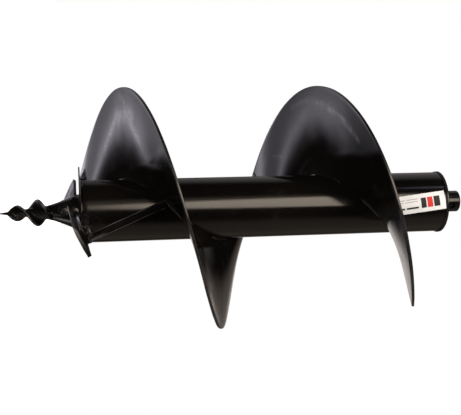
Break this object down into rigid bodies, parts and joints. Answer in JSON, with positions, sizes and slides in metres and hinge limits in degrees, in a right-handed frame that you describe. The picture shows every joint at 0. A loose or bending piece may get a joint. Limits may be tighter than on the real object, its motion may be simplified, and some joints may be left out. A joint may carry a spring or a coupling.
{
  "type": "soil auger",
  "caption": "Earth auger bit: a hollow core tube with a right-hand screw flight, two bolted knives, a screw pilot and a pinned drive socket.",
  "frame": {"origin": "the centre of the drive socket's mouth, on the auger's axis", "axes": "+Z along the auger's axis and out of the drive socket, towards the drive; -Z is down into the ground; +X and +Y square to it, with the braced knife about 15 degrees past -Y and the other knife opposite it"},
  "size_m": [0.3998, 0.4, 0.7735],
  "materials": {
    "black_paint": "semi-gloss black paint over welded steel, with fine scuffs",
    "knife_steel": "thin black paint over formed hard steel, worn at the cutting edge",
    "forging": "black paint over a rough forging",
    "zinc_steel": "zinc-plated fasteners, dulled",
    "label_film": null
  },
  "bodies": {
    "root": {"bottom_cap": "black_paint", "brace_bar": "black_paint", "core_tube": "black_paint", "drive_socket": "black_paint", "flight_lower_section": "black_paint", "flight_toe_plate": "black_paint", "flight_upper_section": "black_paint", "knife_bolt_braced_side_inner": "zinc_steel", "knife_bolt_braced_side_outer": "zinc_steel", "knife_bolt_flight_side_inner": "zinc_steel", "knife_bolt_flight_side_outer": "zinc_steel", "knife_braced_side": "knife_steel", "knife_flight_side": "knife_steel", "knife_nut_braced_side_inner": "zinc_steel", "knife_nut_braced_side_outer": "zinc_steel", "knife_nut_flight_side_inner": "zinc_steel", "knife_nut_flight_side_outer": "zinc_steel", "knife_seat_braced_side": "black_paint", "knife_seat_flight_side": "black_paint", "knife_washer_braced_side_inner": "zinc_steel", "knife_washer_braced_side_outer": "zinc_steel", "knife_washer_flight_side_inner": "zinc_steel", "knife_washer_flight_side_outer": "zinc_steel", "label": "label_film", "pilot_bolt_lower": "zinc_steel", "pilot_bolt_upper": "zinc_steel", "pilot_screw": "forging", "pilot_socket": "black_paint", "top_cap": "black_paint"}
  },
  "joints": []
}
